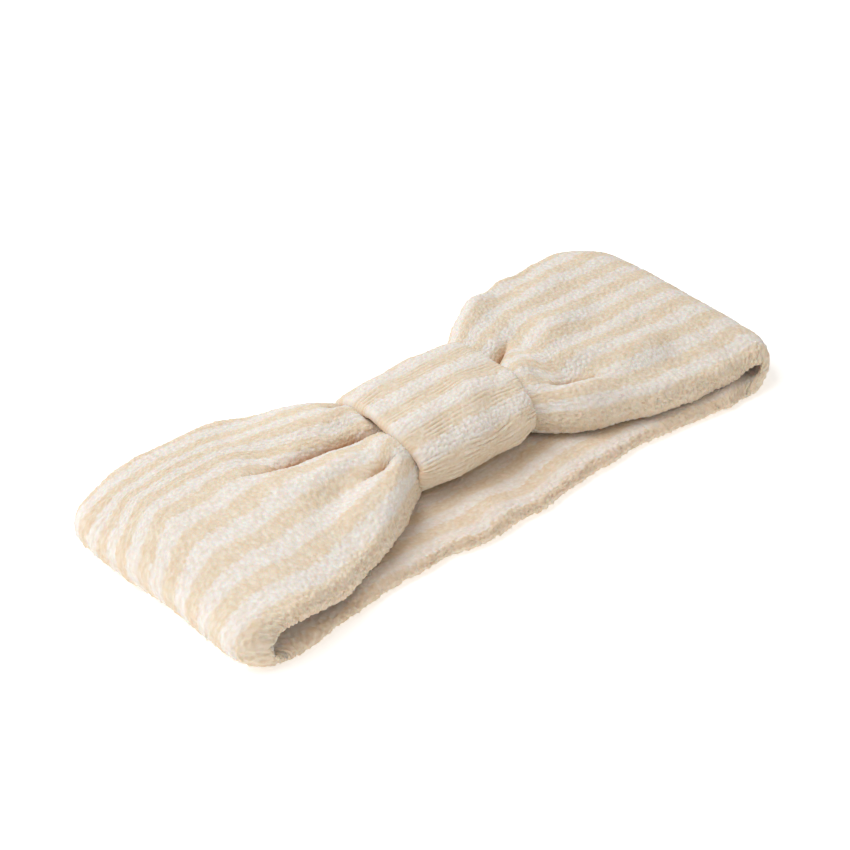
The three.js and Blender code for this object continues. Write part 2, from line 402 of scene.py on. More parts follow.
def fold_line(wing):
    """The middle of the cloth round an end fold, from the top to the floor: places, outward
    directions and the room inside the bend, at equal steps. The top droops gently and the turn at
    the floor is tight."""
    furthest = HALF_LENGTH + wing.reach_out - CLOTH / 2
    quarter = np.linspace(0, math.pi / 2, FOLD_POINTS)
    droop, drop = furthest - wing.fold_start, wing.fold_height - CLOTH / 2 - wing.fold_waist
    under = wing.fold_waist - CLOTH / 2
    x_over = wing.fold_start + droop * np.sin(quarter) ** SHOULDER
    z_over = wing.fold_waist + drop * np.cos(quarter) ** SHOULDER
    x_under = furthest - wing.fold_turn * (1 - np.cos(quarter))
    z_under = wing.fold_waist - under * np.sin(quarter)
    x, z = np.concatenate([x_over, x_under]), np.concatenate([z_over, z_under])
    length = np.hypot(np.diff(x), np.diff(z)).sum()
    x, z = spaced(x, z, int(length / WING_STEP) + 1)
    run_x, run_z = np.gradient(x), np.gradient(z)
    size = np.hypot(run_x, run_z)
    heading = np.unwrap(np.arctan2(run_z, run_x))
    bend = np.convolve(np.abs(np.gradient(heading)), np.ones(FOLD_SMOOTHING) / FOLD_SMOOTHING, "same")
    room = BEND_ROOM * WING_STEP / np.maximum(bend, 1e-6)
    return x, z, -run_z / size, run_x / size, room


def front_draw(x):
    """How far the back panel's front edge is drawn in at x."""
    return sum(depth * smooth(1 - abs(x - place) / reach) for place, reach, depth in FRONT_DRAWS)


class Station(NamedTuple):
    """A place on the loop where the cloth's section is drawn, with the way its outer face points
    and what shapes the section there."""

    x: float
    z: float
    out_x: float
    out_z: float
    wing: Wing
    zone: str
    front: float
    rear: float
    plump: float = 0.0
    lip: float = 0.0
    sag: float = 0.0
    drift: float = 0.0


# Down a fold, from 0 to 1, a wing's own shape gives way to the flat cloth at these rates.
EDGES_SETTLE = 1.2
FRONT_LAG = 0.1
PLUMP_FADES = 1.6
SAG_FADES = 1.35
DRIFT_HOLDS = 0.40
DRIFT_FADES = 0.55


def fold_stations(wing):
    """The stations of an end fold, from the top of its wing down to the floor."""
    line_x, line_z, out_x, out_z, room = fold_line(wing)
    made = []
    for step, x in enumerate(line_x):
        share = step / (len(line_x) - 1)
        upper_front, upper_rear = wing.edges(x)
        fading = 1 - smooth(share * PLUMP_FADES)
        plump = min(wing.plump * fading, room[step] - CLOTH / 2)
        made.append(
            Station(
                x=wing.side * x,
                z=line_z[step],
                out_x=wing.side * out_x[step],
                out_z=out_z[step],
                wing=wing,
                zone="fold",
                front=mix(upper_front, HALF_WIDTH, smooth(share * EDGES_SETTLE - FRONT_LAG)),
                rear=mix(upper_rear, HALF_WIDTH, smooth(share * EDGES_SETTLE)),
                plump=plump,
                lip=min(LIP * fading, max(room[step] - CLOTH / 2 - plump, 0)),
                sag=wing.sag * (1 - smooth(share * SAG_FADES)),
                drift=wing.drift * (1 - smooth((share - DRIFT_HOLDS) / DRIFT_FADES)),
            )
        )
    return made


def back_station(wing, x):
    """A station of the back panel, at a distance x out from the middle."""
    front = HALF_WIDTH - front_draw(wing.side * x)
    rear = HALF_WIDTH - BACK_DRAW * (1 - smooth(x / BACK_DRAW_REACH))
    return Station(wing.side * x, CLOTH / 2, 0.0, -1.0, wing, "back", front, rear)


def band_stations():
    """Every station of the loop, from the closing seam round the back and home again."""
    halves = []
    for wing in (LEFT, RIGHT):
        half = []
        for x in np.arange(SEAM_GAP, wing.fold_start, WING_STEP):
            drift = wing.drift * smooth((x - WRAP_END) / (wing.fold_start - WRAP_END))
            place = (wing.side * x, 0.0, 0.0, 1.0, wing, "wing", *wing.edges(x))
            half.append(Station(*place, lip=LIP, drift=drift))
        half += fold_stations(wing)
        floor_x = abs(half[-1].x)
        for x in np.linspace(floor_x, 0, int(floor_x / BACK_STEP) + 1)[1:-1]:
            half.append(back_station(wing, x))
        halves.append(half)
    left, right = halves
    return left + [back_station(RIGHT, 0.0)] + right[::-1]


def band_rings(stations):
    """The band's bare surface as a grid of points: stations by places round the cloth, with the
    place round the cloth from 0 to 1 and the painted shade of each place."""
    rings = np.empty((len(stations), AROUND, 3))
    round_at = np.empty((len(stations), AROUND))
    painted_shade = np.zeros((len(stations), AROUND))
    for row, at in enumerate(stations):
        depth = np.zeros(OUTLINE_POINTS)
        if at.zone == "wing":
            y, top, bottom, depth = at.wing.section(abs(at.x))
        else:
            y, top, bottom = flat_section(at.front, at.rear, at.plump, at.lip)
        turned = smooth((HALF_LENGTH - TURN_INSET - abs(at.x)) / TURN_LENGTH) if at.zone == "back" else 0.0
        upper_count = int(round(AROUND * mix(UPPER_SHARE, 1 - UPPER_SHARE, turned)))
        across, height = ring(y, top, bottom, upper_count, at.drift)
        rings[row, :, 0] = at.x + at.out_x * height
        rings[row, :, 1] = across
        sag = at.sag * np.clip(-across / at.front, 0, 1) ** SAG_POWER
        rings[row, :, 2] = at.z + at.out_z * height - sag
        upper = np.linspace(0, 0.5, upper_count + 1)[:-1]
        lower = np.linspace(0.5, 1, AROUND - upper_count + 1)[:-1]
        round_at[row] = np.concatenate([upper, lower])
        # Painted shade over the creases of the outer face.
        painted_shade[row, :upper_count] = np.interp(across[:upper_count], y, depth)
        # A light even painted shade over the inner face.
        painted_shade[row, upper_count:] = INNER_PAINTED_SHADE
    return rings, round_at, painted_shade


def slow_waves(along, around, seed, lengths, count=26):
    """Gentle random unevenness, about -1 to 1, that closes round the cloth."""
    dice = np.random.default_rng(seed)
    total = np.zeros(along.shape)
    for _ in range(count):
        length = dice.uniform(*lengths)
        turns = dice.integers(-5, 6)
        total += np.cos(2 * math.pi * (along / length + turns * around) + dice.uniform(0, 2 * math.pi))
    return total / math.sqrt(count)


CORNER_LIMIT = 0.97  # a corner is rounded out to this share of its radius
CORNER_REACH = 2.4  # and over this many radii in from the end
CORNER_SAG = 0.16  # share of its height that a corner loses
EDGE_WANDER = 0.00055


def relax(rings, along):
    """Rounds the loop's corners in plan, lets them sag, and makes its long edges wander."""
    for wing in (LEFT, RIGHT):
        for edge, radius in ((-1, wing.front_corner), (1, wing.rear_corner)):
            over = np.clip((edge * rings[:, :, 1] - HALF_WIDTH + radius) / radius, 0, CORNER_LIMIT)
            reach = CORNER_REACH * radius
            near = smooth((wing.side * rings[:, :, 0] - HALF_LENGTH + reach) / reach)
            pull = radius * (1 - np.sqrt(1 - over**2)) * near
            rings[:, :, 0] -= wing.side * pull
            rings[:, :, 2] *= 1 - CORNER_SAG * near * over**2
    edge_share = np.clip(rings[:, :, 1] / HALF_WIDTH, -1, 1)
    front_wave = slow_waves(along, 0 * along, seed=41, lengths=(0.014, 0.060), count=12)
    rear_wave = slow_waves(along, 0 * along, seed=43, lengths=(0.018, 0.070), count=12)
    wave = np.where(edge_share < 0, front_wave, rear_wave)
    rings[:, :, 1] += EDGE_WANDER * wave * np.abs(edge_share) ** 2


def outward(grid):
    """Unit normals of a grid of points that closes on itself round its second axis."""
    round_step = np.roll(grid, -1, axis=1) - np.roll(grid, 1, axis=1)
    normal = np.cross(np.gradient(grid, axis=0), round_step)
    return normal / np.maximum(np.linalg.norm(normal, axis=2, keepdims=True), 1e-12)


PILE_HEIGHT = 0.00074
EDGE_SPLAY = 1.35  # where the cloth turns, its loops fan apart and stand this much taller
PILE_SIZE = 0.00108  # between neighbouring loops
PILE_FLOOR = 0.18  # the ground between loops, as a share of the tallest
SHORTEST_LOOP = 0.40  # as a share of the tallest
LOOP_REACH = 1.05  # a loop's radius, as a share of that spacing
LOOP_SCATTER = 0.38  # how far a loop strays from its place, as a share of that spacing


def loop_pile(along, around, size, columns, seed):
    """Heights from 0 to 1 of close-set pile loops, and a shade from 0 to 1 for each loop.
    around runs from 0 to 1 and closes."""
    dice = np.random.default_rng(seed)
    rows = int(along.max() / size) + 3
    shift_a = dice.uniform(-LOOP_SCATTER, LOOP_SCATTER, (rows, columns))
    shift_b = dice.uniform(-LOOP_SCATTER, LOOP_SCATTER, (rows, columns))
    tall = dice.uniform(SHORTEST_LOOP, 1.0, (rows, columns))
    shades = dice.uniform(0, 1, (rows, columns))
    a = along / size + 1
    b = around * columns
    cell_a = np.floor(a).astype(int)
    cell_b = np.floor(b).astype(int)
    best = np.zeros(a.shape)
    shade = np.full(a.shape, 0.5)
    for step_a in (-1, 0, 1):
        for step_b in (-1, 0, 1):
            i = np.clip(cell_a + step_a, 0, rows - 1)
            j = (cell_b + step_b) % columns
            gap_a = a - (cell_a + step_a + 0.5 + shift_a[i, j])
            gap_b = b - (cell_b + step_b + 0.5 + shift_b[i, j])
            dome = 1 - (gap_a**2 + gap_b**2) / LOOP_REACH**2
            height = tall[i, j] * np.clip(dome, 0, 1)
            shade = np.where(height > best, shades[i, j], shade)
            best = np.maximum(best, height)
    return np.maximum(best, PILE_FLOOR), shade


EDGE_STRIPE_TOP = 0.0042  # how far the wide beige edge stripe reaches over the outer face
EDGE_STRIPE_UNDER = 0.0012  # and over the inner one
STRIPES = 17  # periods round the doubled cloth, besides that wide stripe


def edge_stripes(around):
    """The stripes' angle round the doubled cloth. One wide beige stripe lies over the front edge,
    where the two layers meet, and the rest divide what is left evenly."""
    top, under = EDGE_STRIPE_TOP / GIRTH, EDGE_STRIPE_UNDER / GIRTH
    shift = np.clip(around - top, 0, 1 - top - under)
    return 2 * math.pi * STRIPES * shift / (1 - top - under)


def fast_mesh(name, points, quads, flat_faces=0):
    """A smooth mesh whose last few faces may be shaded flat."""
    mesh = bpy.data.meshes.new(name)
    mesh.vertices.add(len(points))
    mesh.vertices.foreach_set("co", points.astype(np.float32).ravel())
    mesh.loops.add(quads.size)
    mesh.loops.foreach_set("vertex_index", quads.astype(np.int32).ravel())
    mesh.polygons.add(len(quads))
    mesh.polygons.foreach_set("loop_start", np.arange(0, quads.size, 4, dtype=np.int32))
    mesh.update(calc_edges=True)
    mesh.validate()
    mesh.shade_smooth()
    if flat_faces:
        is_flat = np.zeros(len(quads), dtype=bool)
        is_flat[-flat_faces:] = True
        mesh.attributes.new("sharp_face", "BOOLEAN", "FACE").data.foreach_set("value", is_flat)
    made = bpy.data.objects.new(name, mesh)
    bpy.context.collection.objects.link(made)
    return made


def grid_mesh(name, grid):
    """A closed mesh from a grid that closes round its second axis. The caps on its two ends are
    shaded flat, so that they don't shade the wall."""
    rows, columns = grid.shape[:2]
    index = np.arange(rows * columns).reshape(rows, columns)
    after = np.roll(index, -1, axis=1)
    walls = np.stack([index[:-1], index[1:], after[1:], after[:-1]], axis=-1).reshape(-1, 4)
    half = columns // 2
    ends = []
    for start, turned in ((0, False), ((rows - 1) * columns, True)):
        near = start + np.arange(half + 1)
        far = start + (columns - np.arange(half + 1)) % columns
        quads = np.stack([near[:-1], near[1:], far[1:], far[:-1]], axis=-1)[1:-1]
        ends.append(quads[:, ::-1] if turned else quads)
    caps = np.concatenate(ends)
    return fast_mesh(name, grid.reshape(-1, 3), np.concatenate([walls, caps]), flat_faces=len(caps))


def note(piece, name, values):
    """Stores a value or a vector for each point, which the material reads."""
    values = np.ascontiguousarray(values, dtype=np.float32)
    kind = "FLOAT_VECTOR" if values.ndim == 2 else "FLOAT"
    attribute = piece.data.attributes.new(name, kind, "POINT")
    attribute.data.foreach_set("vector" if values.ndim == 2 else "value", values.ravel())


class Wire:
    """A node's socket that takes part in Python sums."""

    def __init__(self, socket):
        self.socket = socket
        self.tree = socket.id_data

    @staticmethod
    def node(tree, kind, settings, values, output=0):
        """Adds a node, sets it up, feeds its sockets, and gives back one of its outputs."""
        made = tree.nodes.new(kind)
        for name, setting in settings.items():
            setattr(made, name, setting)
        for socket, value in values.items():
            if isinstance(value, Wire):
                tree.links.new(value.socket, made.inputs[socket])
            else:
                made.inputs[socket].default_value = value
        return Wire(made.outputs[output])

    def sum(self, operation, *values):
        return Wire.node(self.tree, "ShaderNodeMath", {"operation": operation}, dict(enumerate(values)))

    def __add__(self, other):
        return self.sum("ADD", self, other)

    __radd__ = __add__

    def __sub__(self, other):
        return self.sum("SUBTRACT", self, other)

    def __rsub__(self, other):
        return self.sum("SUBTRACT", other, self)

    def __mul__(self, other):
        return self.sum("MULTIPLY", self, other)

    __rmul__ = __mul__

    def limited(self):
        """The value kept from 0 to 1."""
        return self.sum("MINIMUM", self.sum("MAXIMUM", self, 0.0), 1.0)


def blend_colours(tree, share, first, second, mode="MIX"):
    settings = {"data_type": "RGBA", "blend_type": mode}
    return Wire.node(tree, "ShaderNodeMix", settings, {0: share, 6: first, 7: second}, output=2)


WHITE_PILE = (0.895, 0.870, 0.838, 1)
BEIGE_PILE = (0.850, 0.748, 0.605, 1)
# Colour of the painted shade at the loops' feet, between the loops.
PILE_ROOT_PAINTED_SHADE = (0.83, 0.73, 0.62, 1)
# The warm colour that the painted shade multiplies in, in creases and inside the loop.
PAINTED_SHADE_COLOUR = (0.80, 0.52, 0.31, 1)
STRIPE_SOFTNESS = 0.46  # 1 runs one stripe into the next
TUFT_STRAY = 0.09  # how far single loops stray over a stripe's edge, in stripe periods
FINE_STRAY = 0.15
BROAD_STRAY = 0.40
BEIGE_DEPTH = 0.92  # of the beige dye in a stripe's middle
BEIGE_WEAR = 0.5  # how much that varies from place to place
TUFT_SHADE = 0.22  # and from loop to loop
ROOT_PAINTED_SHADE = 0.85  # painted shade at the loops' feet, where shade falls between them
ROOT_SCATTER = 0.30
FIBRE_HEIGHT = 0.00030


def striped_terry(name, relief):
    """Terry pile. The cloth attribute is the place on the cloth, for the noises, and stripe the
    stripes' angle as a direction. pile and tuft are how high a point stands and its loop's own tone;
    the third attribute is the painted shade on it, in creases and inside the loop."""
    material = bpy.data.materials.new(name)
    material.use_nodes = True
    tree = material.node_tree
    shader = tree.nodes["Principled BSDF"]

    def stored(attribute, output):
        return Wire.node(tree, "ShaderNodeAttribute", {"attribute_name": attribute}, {}, output)

    def noise(scale, detail):
        return Wire.node(
            tree, "ShaderNodeTexNoise", {}, {"Vector": cloth, "Scale": scale, "Detail": detail}
        )

    cloth = stored("cloth", 1)
    pile, tuft, painted_shade = stored("pile", 2), stored("tuft", 2), stored("painted_shade", 2)
    stripe = stored("stripe", 1)
    side = Wire.node(tree, "ShaderNodeSeparateXYZ", {}, {0: stripe}, output=0)
    up = Wire.node(tree, "ShaderNodeSeparateXYZ", {}, {0: stripe}, output=1)
    wander = (tuft - 0.5) * TUFT_STRAY + (noise(330.0, 1.0) - 0.5) * FINE_STRAY
    wander = wander + (noise(38.0, 1.0) - 0.5) * BROAD_STRAY
    wave = side.sum("COSINE", side.sum("ARCTAN2", up, side) + wander * (2 * math.pi))
    beige = Wire.node(
        tree,
        "ShaderNodeMapRange",
        {"interpolation_type": "SMOOTHSTEP"},
        {"Value": wave, "From Min": -STRIPE_SOFTNESS, "From Max": STRIPE_SOFTNESS},
    )
    worn = (noise(150.0, 2.0) - 0.5) * BEIGE_WEAR + (tuft - 0.5) * TUFT_SHADE
    colour = blend_colours(tree, (beige * BEIGE_DEPTH + worn * beige).limited(), WHITE_PILE, BEIGE_PILE)
    # Painted shade: the lower a point stands between the loops, the darker it is painted.
    painted_root_shade = ((1.0 - pile) * ROOT_PAINTED_SHADE + (tuft - 0.5) * ROOT_SCATTER).limited()
    colour = blend_colours(tree, painted_root_shade, colour, PILE_ROOT_PAINTED_SHADE, mode="MULTIPLY")
    # Painted shade in creases and inside the loop, multiplied into the colour.
    colour = blend_colours(tree, painted_shade.limited(), colour, PAINTED_SHADE_COLOUR, mode="MULTIPLY")
    tree.links.new(colour.socket, shader.inputs["Base Color"])
    shader.inputs["Roughness"].default_value = 0.95
    shader.inputs["Specular IOR Level"].default_value = 0.12
    shader.inputs["Subsurface Weight"].default_value = 0.40
    shader.inputs["Subsurface Radius"].default_value = (1.0, 0.52, 0.30)
    shader.inputs["Subsurface Scale"].default_value = 0.0028
    shader.inputs["Sheen Weight"].default_value = 0.18
    shader.inputs["Sheen Roughness"].default_value = 0.6
    shader.inputs["Sheen Tint"].default_value = (1.0, 0.97, 0.93, 1)
    height = {"Strength": relief, "Distance": FIBRE_HEIGHT, "Height": noise(2300.0, 3.0)}
    bump = Wire.node(tree, "ShaderNodeBump", {}, height)
    tree.links.new(bump.socket, shader.inputs["Normal"])
    return material


def directions(angle):
    """Angles as unit vectors, which blend across a closing point without a jump."""
    return np.stack([np.cos(angle), np.sin(angle), 0 * angle], axis=-1)


def laid_round(along, around, girth):
    """The place on a cloth that closes on itself, as a point on a tube of that girth."""
    turn = 2 * math.pi * around
    radius = girth / (2 * math.pi)
    return np.stack([along, radius * np.cos(turn), radius * np.sin(turn)], axis=-1)


FRONT_SPLAY = 0.012  # the loops fan apart within this distance of the front edge,
FLOOR_TURN_TOP = 0.0130  # and on the outer side below this height
FLOOR_TURN_HEIGHT = 0.0060
FLOOR_TURN_START = 0.104  # where the cloth is further out than this
FLOOR_TURN_LENGTH = 0.010
OUTER_SIDE_FADE = 0.03  # share of the girth over which that ends at the rear edge
BAND_SWELL = 0.00040
FLOOR_CLEARANCE = 0.0001

stations = band_stations()
zones = np.array([station.zone for station in stations])
bare, around, painted_shade = band_rings(stations)
station_x = np.array([station.x for station in stations])
station_z = np.array([station.z for station in stations])
# The height of a station counts towards the cloth's length only where the cloth goes down a fold.
in_folds = (zones[:-1] == "fold") & (zones[1:] == "fold")
steps = np.hypot(np.diff(station_x), np.where(in_folds, np.diff(station_z), 0))
along = np.concatenate([[0], np.cumsum(steps)])[:, None] + np.zeros((1, AROUND))
relax(bare, along)
pile, tuft = loop_pile(along, around, PILE_SIZE, int(GIRTH / PILE_SIZE), seed=11)
swell = slow_waves(along, around, seed=5, lengths=(0.016, 0.060))
front_distance = np.minimum(around, 1 - around) * GIRTH
low = smooth((FLOOR_TURN_TOP - bare[:, :, 2]) / FLOOR_TURN_HEIGHT)
far_out = smooth((np.abs(bare[:, :, 0]) - FLOOR_TURN_START) / FLOOR_TURN_LENGTH)
floor_turn = low * far_out * smooth((0.5 - around) / OUTER_SIDE_FADE)
splay = 1 + EDGE_SPLAY * np.maximum(1 - smooth(front_distance / FRONT_SPLAY), floor_turn)
lift = PILE_HEIGHT * splay * (pile - 0.5) + BAND_SWELL * swell
stood = bare + outward(bare) * lift[:, :, None]
stood[:, :, 2] = np.maximum(stood[:, :, 2], FLOOR_CLEARANCE)
cloth = laid_round(along, around, GIRTH)
stripe = directions(edge_stripes(around))
band_material = striped_terry("striped_terry", relief=0.30)


def finish_terry(piece, material, cloth, stripe, pile, tuft, painted_shade):
    """Gives a piece its terry, and stores what the terry's material reads."""
    note(piece, "cloth", cloth.reshape(-1, 3))
    note(piece, "stripe", stripe.reshape(-1, 3))
    note(piece, "pile", pile.ravel())
    note(piece, "tuft", tuft.ravel())
    note(piece, "painted_shade", painted_shade.ravel())
    piece.data.materials.append(material)


def band_piece(name, first, last):
    """A length of the band between two stations, both included."""
    part = slice(first, last + 1)
    piece = grid_mesh(name, stood[part])
    finish_terry(piece, band_material, cloth[part], stripe[part], pile[part], tuft[part], painted_shade[part])
    return piece


back_rows = np.flatnonzero(zones == "back")
LEFT_JOIN = int(back_rows[0])
RIGHT_JOIN = int(back_rows[-1])

# ---------------------------------------------------------------------------
# The back panel. The flat part of the strip that lies on the table, between
# the tight turns under the two end folds. Its inner face shows in the mouth.
# ---------------------------------------------------------------------------
back_panel = band_piece("back_panel", LEFT_JOIN, RIGHT_JOIN)
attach(back_panel, "back")
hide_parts("back_outer_layer", "back_inner_layer")


def bend_with_bow(piece):
    """Bakes a wing piece's placement into its points; nothing ties it to the back panel or the bow."""
    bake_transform(piece)


for wing, first, last in ((LEFT, 0, LEFT_JOIN), (RIGHT, RIGHT_JOIN, len(zones) - 1)):
    hand = "left" if wing is LEFT else "right"
    piece = band_piece(f"{hand}_wing", first, last)
    bend_with_bow(piece)
    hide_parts(f"{hand}_wing_outer_layer", f"{hand}_wing_inner_layer", f"waist_{hand}_gather")

# ---------------------------------------------------------------------------
# The long seams. Cotton lockstitch runs along both edges of the doubled strip,
# just inside the turned edge, where the pile covers it.
# ---------------------------------------------------------------------------
THREAD_RADIUS = 0.00020
THREAD_SIDES = 8
THREAD_STEP = 0.0003
FEWEST_STEPS = 8  # along a thread, however short
PLY_TWIST = 0.0011  # one turn of the two plies
PLY_DEPTH = 0.20  # of the groove between them, as a share of the radius
THREAD_GUIDE = (0.31, 0.17, 0.93)  # a direction that no thread runs in
STITCH = 0.0025
STITCH_LIFT = 0.0004
STITCH_SQUARENESS = 2.5  # higher dives through the cloth more steeply
WRAP_CLEARANCE = 0.001  # from the wrap's end out to a wing's seam
SEAM_INSET = 0.0055  # along the cloth from its edge


def cotton_thread():
    """Two-ply cotton, unbleached, a little hairy."""
    material = bpy.data.materials.new("cotton_thread")
    material.use_nodes = True
    tree = material.node_tree
    shader = tree.nodes["Principled BSDF"]
    place = Wire.node(tree, "ShaderNodeTexCoord", {}, {}, output=3)
    hair = Wire.node(tree, "ShaderNodeTexNoise", {}, {"Vector": place, "Scale": 4200.0, "Detail": 3.0})
    colour = blend_colours(tree, hair, (0.88, 0.85, 0.79, 1), (0.74, 0.69, 0.61, 1))
    tree.links.new(colour.socket, shader.inputs["Base Color"])
    shader.inputs["Roughness"].default_value = 0.75
    bump = Wire.node(tree, "ShaderNodeBump", {}, {"Strength": 0.4, "Distance": 0.0001, "Height": hair})
    tree.links.new(bump.socket, shader.inputs["Normal"])
    return material


thread_material = cotton_thread()


def run_along(route):
    """How far along a route of points each of them lies."""
    return np.concatenate([[0], np.cumsum(np.linalg.norm(np.diff(route, axis=0), axis=1))])


def points_at(route, run, at):
    """The points at some distances along a route."""
    return np.stack([np.interp(at, run, route[:, axis]) for axis in range(3)], axis=-1)


def thread(name, route, replaces):
    """A twisted two-ply thread along a route of points."""
    run = run_along(route)
    at = np.linspace(0, run[-1], max(int(run[-1] / THREAD_STEP), FEWEST_STEPS))
    line = points_at(route, run, at)
    ahead = np.gradient(line, axis=0)
    ahead = ahead / np.linalg.norm(ahead, axis=1, keepdims=True)
    first = np.cross(ahead, THREAD_GUIDE)
    first = first / np.linalg.norm(first, axis=1, keepdims=True)
    second = np.cross(ahead, first)
    angle = np.arange(THREAD_SIDES) * 2 * math.pi / THREAD_SIDES
    plies = 1 + PLY_DEPTH * np.cos(2 * (angle[None, :] - math.pi * at[:, None] / PLY_TWIST))
    radius = THREAD_RADIUS * plies
    across = first[:, None] * np.cos(angle)[None, :, None]
    across = across + second[:, None] * np.sin(angle)[None, :, None]
    piece = grid_mesh(name, (line[:, None] + across * radius[:, :, None])[:, ::-1])
    piece.data.materials.append(thread_material)
    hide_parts(replaces)
    return piece


def stitched(route, up):
    """A route with lockstitches in it: it passes from one face of the cloth to the other."""
    run = run_along(route)
    fine = np.arange(0, run[-1], THREAD_STEP)
    rise = STITCH_LIFT * np.tanh(STITCH_SQUARENESS * np.sin(2 * math.pi * fine / STITCH))
    return points_at(route, run, fine) + np.asarray(up) * rise[:, None]


def seam_route(rows, edge):
    """The middle of the cloth just inside one edge, station by station. edge is -1 for the
    front and 1 for the rear."""
    inset = SEAM_INSET / GIRTH
    places = (inset, 1 - inset) if edge < 0 else (0.5 - inset, 0.5 + inset)
    route = []
    for row in rows:
        pair = [bare[row, int(np.argmin(np.abs(around[row] - place)))] for place in places]
        route.append((pair[0] + pair[1]) / 2)
    return np.array(route)


def first_beyond(rows, distance):
    """The first of some stations, taken in order, that is further out than a distance."""
    return next(row for row in rows if abs(station_x[row]) > distance)


outward_rows = {"left": range(len(stations)), "right": range(len(stations) - 1, -1, -1)}
hinge_rows = {hand: first_beyond(rows, HINGE_X) for hand, rows in outward_rows.items()}
for edge, edge_name in ((-1, "front"), (1, "rear")):
    middle_rows = range(hinge_rows["left"], hinge_rows["right"] + 1)
    back_thread = thread(
        f"back_{edge_name}_stitching",
        stitched(seam_route(middle_rows, edge), (0, 0, 1)),
        f"back_{edge_name}_seam_thread",
    )
    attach(back_thread, "back")
    for wing, hand in ((LEFT, "left"), (RIGHT, "right")):
        inner = first_beyond(outward_rows[hand], WRAP_END + WRAP_CLEARANCE)
        outer = hinge_rows[hand]
        rows = range(inner, outer) if wing is LEFT else range(outer + 1, inner + 1)
        wing_thread = thread(
            f"{hand}_wing_{edge_name}_stitching",
            stitched(seam_route(rows, edge), (0, 0, 1)),
            f"{hand}_wing_{edge_name}_seam_thread",
        )
        bend_with_bow(wing_thread)

# ---------------------------------------------------------------------------
# The closing seam and the gathering threads. The strip's two ends meet in the
# middle and are sewn to each other, and a thread drawn tight round each side
# holds the pleats. The wrap hides them.
# ---------------------------------------------------------------------------
OVAL_SQUARENESS = 2.6  # 2 is an ellipse, more is boxier
OVAL_POINTS = 700  # for each turn
OVAL_SLANT = 1.2  # thread radii to each side, so that one turn clears the next


def oval_route(node_name, turns=1.0):
    """A thread laid round the gathered cloth, where its CAD node lies."""
    low, high = (np.array(corner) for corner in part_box(node_name))
    centre, half = (low + high) / 2, (high - low) / 2
    angle = np.linspace(0, 2 * math.pi * turns, int(OVAL_POINTS * turns))
    power = 2 / OVAL_SQUARENESS
    y = np.sign(np.cos(angle)) * np.abs(np.cos(angle)) ** power * (half[1] - THREAD_RADIUS)
    z = np.sign(np.sin(angle)) * np.abs(np.sin(angle)) ** power * (half[2] - THREAD_RADIUS)
    x = np.linspace(-OVAL_SLANT, OVAL_SLANT, len(angle)) * THREAD_RADIUS
    return np.stack([centre[0] + x, centre[1] + y, centre[2] + z], axis=-1)


closing_stitches = stitched(oval_route("closing_seam_thread"), (1, 0, 0))
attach(thread("closing_seam_stitching", closing_stitches, "closing_seam_thread"), "bow")
for hand in ("left", "right"):
    node_name = f"gathering_thread_{hand}"
    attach(thread(f"{hand}_gathering_stitches", oval_route(node_name, turns=2.0), node_name), "bow")

# ---------------------------------------------------------------------------
# The centre wrap. A short turned tube of the same terry, stretched tight round
# the gathered middle. The stretch parts its pile into fine uneven ribs that
# run along the band, clearest on the beige stripes.
# ---------------------------------------------------------------------------
WRAP_AROUND = 620  # points round it
WRAP_ALONG = 190  # points along its outside and back along its inside
WRAP_OUTSIDE = 0.72  # share of those on the outside
WRAP_LINE = 400  # points of its bare outside line, before they are spaced out
WRAP_END_POINTS = 24  # of the turn at its end
WRAP_OUTLINE = 4000  # of its bare outline round the band
WRAP_WALL = 0.0042
WRAP_FRONT_STRIPE = (-0.070, 0.085)  # a wide beige stripe lies on its front: start and width
WRAP_STRIPES = 9  # besides that one
WRAP_LEAN = 0.26  # its front leans back towards the top, by this share
WRAP_SKEW = 0.0008  # its ends slant a little, the front further left
WRAP_FULL = 0.0024  # how far its plump front and rear stand out past the plain tube
WRAP_RISE = 0.0016  # and its top
WRAP_BOTTOM = 0.0060  # height of its soft underside
WRAP_RIBS = 84
WRAP_SQUARENESS = 3.1
WRAP_CROWN = 0.0005  # how far its middle stands up
WRAP_END_DROP = 0.0013  # and its ends draw in
WRAP_END_PULL = 0.0008  # how unevenly its ends lie
WRAP_SWELL = 0.00042
WRAP_PUFF = 0.00045  # how far the white stripes stand over the beige ones
WRAP_PILE_HEIGHT = 0.00074
WRAP_PILE_SIZE = 0.00095
WRAP_LOOPS = WRAP_RIBS + 28  # round the wrap
FRONT_PILE = 0.6  # its pile is taller in front, by this share
PILE_MIDDLE = 0.6  # the pile's height that lies on the bare surface
RIB_WANDER = 0.36  # in ribs
WHITE_RIBS = 0.06  # share of the relief that the ribs take on a white stripe
BEIGE_RIBS = 0.56
# Painted shade over the wrap's inside.
WRAP_INSIDE_PAINTED_SHADE = 0.7


def wrap_outline(count):
    """The closed outline of the wrap in Y and Z, and its outward directions."""
    angle = np.linspace(0, 2 * math.pi, WRAP_OUTLINE)
    level = (wrap_low.z + wrap_high.z) / 2
    power = 2 / WRAP_SQUARENESS
    y = -(wrap_high.y + WRAP_FULL) * np.sign(np.cos(angle)) * np.abs(np.cos(angle)) ** power
    half_z = np.where(np.sin(angle) < 0, level - WRAP_BOTTOM, wrap_high.z + WRAP_RISE - level)
    z = half_z * np.sign(np.sin(angle)) * np.abs(np.sin(angle)) ** power
    y = y * np.where(y < 0, 1 - WRAP_LEAN * smooth(z / half_z), 1)
    y, z = spaced(y, z, count + 1)
    y, z = y[:-1], z[:-1]
    run_y = np.roll(y, -1) - np.roll(y, 1)
    run_z = np.roll(z, -1) - np.roll(z, 1)
    size = np.hypot(run_y, run_z)
    return y, z + level, -run_z / size, run_y / size


